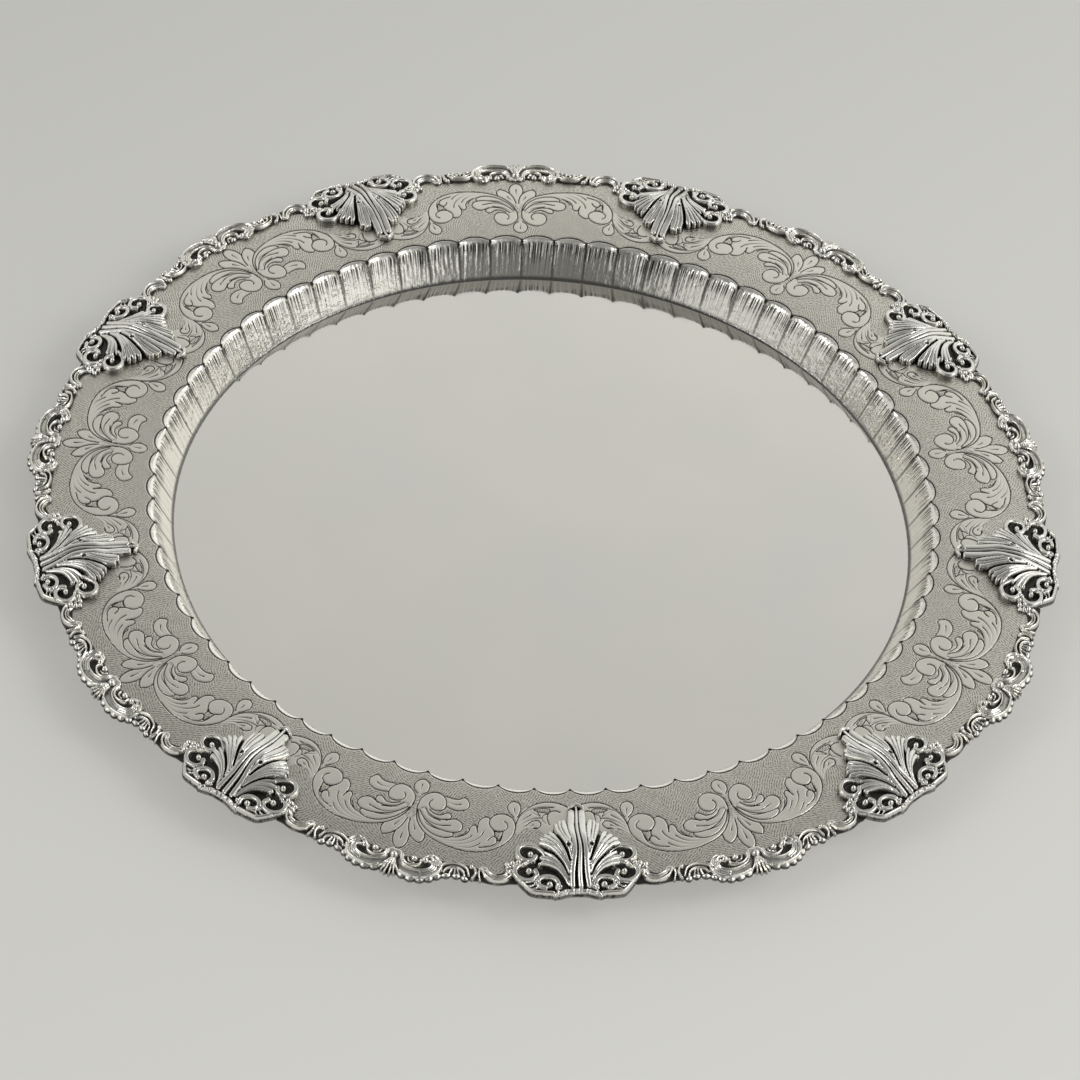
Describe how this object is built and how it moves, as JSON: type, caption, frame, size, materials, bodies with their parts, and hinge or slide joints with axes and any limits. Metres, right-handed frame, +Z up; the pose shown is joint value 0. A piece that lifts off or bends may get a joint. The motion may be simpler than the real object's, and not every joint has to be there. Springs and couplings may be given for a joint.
{
  "type": "offering plate",
  "caption": "Round silver offering plate: sunk well with a fluted wall, broad chased rim, and a cast scroll border with acanthus cartouches.",
  "frame": {"origin": "centre of the flat underside, on the surface that the plate stands on", "axes": "+Z up out of the well; -Y towards the middle of a cartouche, which is the one nearest the viewer; +X to the viewer's right"},
  "size_m": [0.4104, 0.4121, 0.0223],
  "materials": {
    "chased_sheet": "polished silver floor, matted and chased rim, darkened in the lines",
    "border_casting": "cast silver, polished on the crests and oxidised in the hollows",
    "oxidised_frame": "cast silver with heavily darkened ground",
    "bright_leaf": "cast silver, polished ribs with darkened hollows"
  },
  "bodies": {
    "root": {"tray_body": "chased_sheet", "rim_section_1": "border_casting", "rim_section_2": "border_casting", "rim_section_3": "border_casting", "rim_section_4": "border_casting", "rim_section_5": "border_casting", "rim_section_6": "border_casting", "rim_section_7": "border_casting", "rim_section_8": "border_casting", "rim_section_9": "border_casting", "scroll_frame_1": "oxidised_frame", "scroll_frame_2": "oxidised_frame", "scroll_frame_3": "oxidised_frame", "scroll_frame_4": "oxidised_frame", "scroll_frame_5": "oxidised_frame", "scroll_frame_6": "oxidised_frame", "scroll_frame_7": "oxidised_frame", "scroll_frame_8": "oxidised_frame", "scroll_frame_9": "oxidised_frame", "acanthus_leaf_1": "bright_leaf", "acanthus_leaf_2": "bright_leaf", "acanthus_leaf_3": "bright_leaf", "acanthus_leaf_4": "bright_leaf", "acanthus_leaf_5": "bright_leaf", "acanthus_leaf_6": "bright_leaf", "acanthus_leaf_7": "bright_leaf", "acanthus_leaf_8": "bright_leaf", "acanthus_leaf_9": "bright_leaf"}
  },
  "joints": []
}
